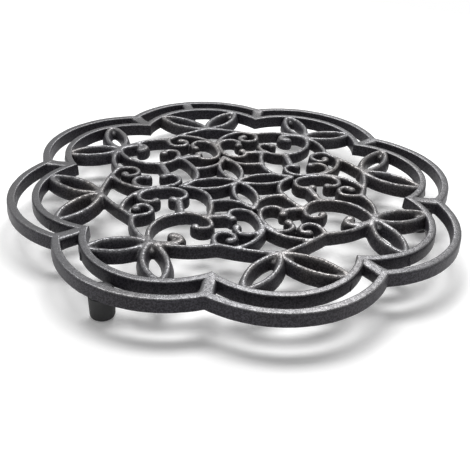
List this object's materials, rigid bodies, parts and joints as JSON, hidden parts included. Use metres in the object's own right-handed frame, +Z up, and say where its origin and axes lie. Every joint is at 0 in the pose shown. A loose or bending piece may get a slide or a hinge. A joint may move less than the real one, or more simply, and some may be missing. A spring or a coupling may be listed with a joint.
{
  "type": "trivet",
  "caption": "Round lobed cast iron trivet with a double rim and an open grille of hollow leaves and scrolls, standing on rubber feet, to keep a hot pot off the table.",
  "frame": {"origin": "on the table, under the middle of the trivet", "axes": "+Z up, +X and +Y each through the tip of a lobe; the middle petals lie along X and Y"},
  "size_m": [0.2, 0.2, 0.0155],
  "materials": {
    "iron": "grainy satin black as cast, with bright worn edges along the tops of the bars",
    "rubber": "smooth matt black"
  },
  "bodies": {
    "root": {"iron_casting": "iron", "back_foot": "rubber", "left_foot": "rubber", "right_foot": "rubber"}
  },
  "joints": []
}
